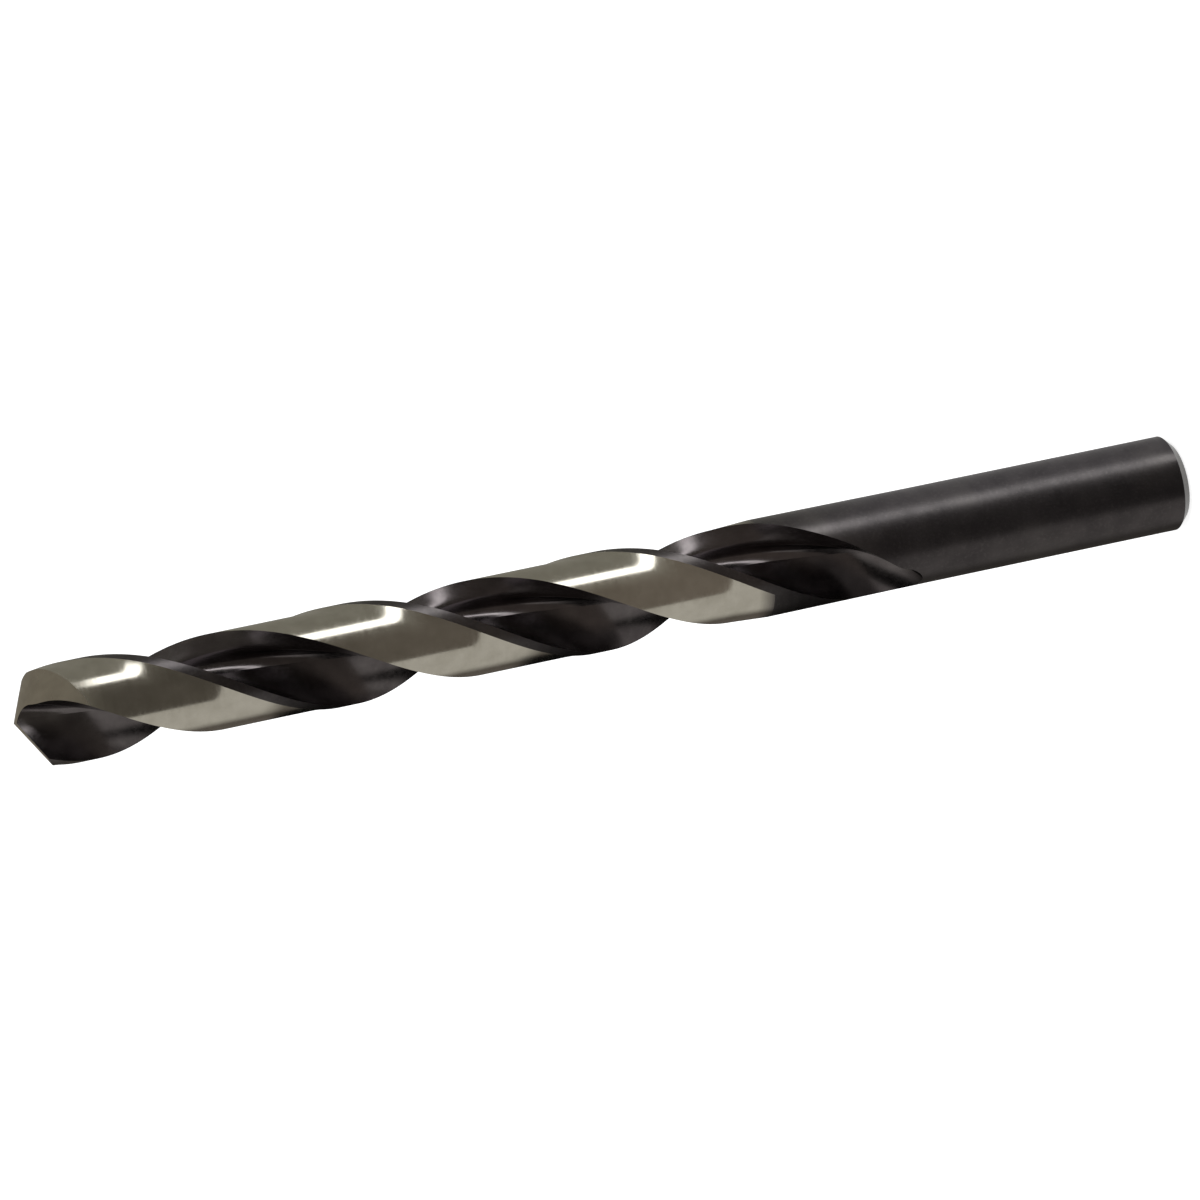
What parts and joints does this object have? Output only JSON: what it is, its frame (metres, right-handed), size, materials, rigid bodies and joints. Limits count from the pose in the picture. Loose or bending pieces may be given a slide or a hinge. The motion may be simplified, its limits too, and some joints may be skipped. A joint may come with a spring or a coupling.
{
  "type": "twist drill bit",
  "caption": "Straight-shank twist drill bit with right-hand helical flutes, ground margins and a cone-ground point, for boring holes in metal.",
  "frame": {"origin": "centre of the flat end of the shank", "axes": "+Z along the bit's axis from the shank to the point, +X along the cutting lips"},
  "size_m": [0.012, 0.012, 0.146],
  "materials": {
    "steel": "black oxide on the shank, flutes and margins, bright ground on the backed-off lands and the point"
  },
  "bodies": {
    "root": {"drill_bit": "steel"}
  },
  "joints": []
}
